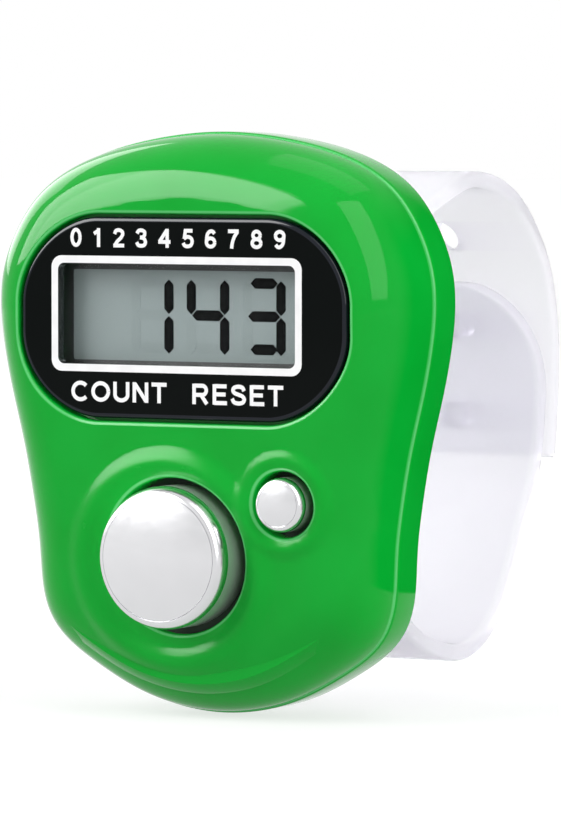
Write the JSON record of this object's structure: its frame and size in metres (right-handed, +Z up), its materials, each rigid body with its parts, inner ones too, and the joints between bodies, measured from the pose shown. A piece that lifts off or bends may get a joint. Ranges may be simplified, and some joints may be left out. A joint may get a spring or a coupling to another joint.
{
  "type": "finger tally counter",
  "caption": "Domed green finger counter with a digital display, round chrome count button, small reset button and a clear snap strap that closes into a ring.",
  "frame": {"origin": "centre of the finger ring, at the mid height of the case", "axes": "+X along the finger, to the right seen from the front; +Y to the back, from the case towards the strap; +Z up, from the count button towards the display"},
  "size_m": [0.034, 0.0402, 0.041],
  "materials": {
    "case_green": "glossy moulded green plastic",
    "button_chrome": "bright chromed plastic",
    "lens_black": "glossy clear lens printed black and white on its back",
    "strap_clear": "soft translucent pale plastic",
    "display_glass": "thin clear glass",
    "display_reflector": "satin silver-grey film",
    "plastic_black": "matt black moulded plastic",
    "board_green": "green solder-masked circuit board",
    "metal_steel": "plated steel",
    "metal_brass": "gold-washed spring brass",
    "rubber_black": "matt black rubber",
    "ceramic_tan": "tan ceramic"
  },
  "bodies": {
    "case": {"front_case": "case_green", "back_case": "case_green", "display_lens": "lens_black", "count_switch_body": "plastic_black", "count_switch_cover": "metal_steel", "reset_switch_body": "plastic_black", "reset_switch_cover": "metal_steel", "circuit_board": "board_green", "chip_blob": "plastic_black", "capacitor": "ceramic_tan", "resistor": "plastic_black", "lcd_bezel": "plastic_black", "lcd_front_glass": "display_glass", "lcd_rear_glass": "display_glass", "lcd_reflector": "display_reflector", "zebra_strip": "rubber_black", "battery_can": "metal_steel", "battery_cap": "metal_steel", "contact_positive": "metal_brass", "contact_negative": "metal_brass", "battery_cover_seal": "rubber_black", "case_screw_1": "metal_steel", "case_screw_2": "metal_steel", "case_screw_3": "metal_steel", "case_screw_4": "metal_steel", "board_screw_1": "metal_steel", "board_screw_2": "metal_steel", "strap_upper": "strap_clear", "strap_lower": "strap_clear", "strap_pin_upper": "metal_steel", "strap_pin_lower": "metal_steel"},
    "count_button": {"count_button": "button_chrome"},
    "count_plunger": {"count_switch_plunger": "plastic_black"},
    "reset_button": {"reset_button": "button_chrome"},
    "reset_plunger": {"reset_switch_plunger": "plastic_black"},
    "battery_cover": {"battery_cover": "case_green"}
  },
  "joints": [
    {"name": "count_press", "type": "slide", "parent": "case", "child": "count_button", "axis": [0, 1, 0], "range_m": [0, 0.0005], "stiffness_N_per_m": 400, "springref_m": -0.001},
    {"name": "count_plunger_slide", "type": "slide", "parent": "case", "child": "count_plunger", "axis": [0, 1, 0], "range_m": [0, 0.0005]},
    {"name": "reset_press", "type": "slide", "parent": "case", "child": "reset_button", "axis": [0, 1, 0], "range_m": [0, 0.0005], "stiffness_N_per_m": 400, "springref_m": -0.001},
    {"name": "reset_plunger_slide", "type": "slide", "parent": "case", "child": "reset_plunger", "axis": [0, 1, 0], "range_m": [0, 0.0005]},
    {"name": "battery_cover_turn", "type": "hinge", "parent": "case", "child": "battery_cover", "pos_m": [0, -0.0123, 0], "axis": [0, -1, 0], "range_deg": [0, 45]}
  ],
  "couplings": [
    {"joint": "count_plunger_slide", "follows": "count_press", "ratio": 1},
    {"joint": "reset_plunger_slide", "follows": "reset_press", "ratio": 1}
  ]
}
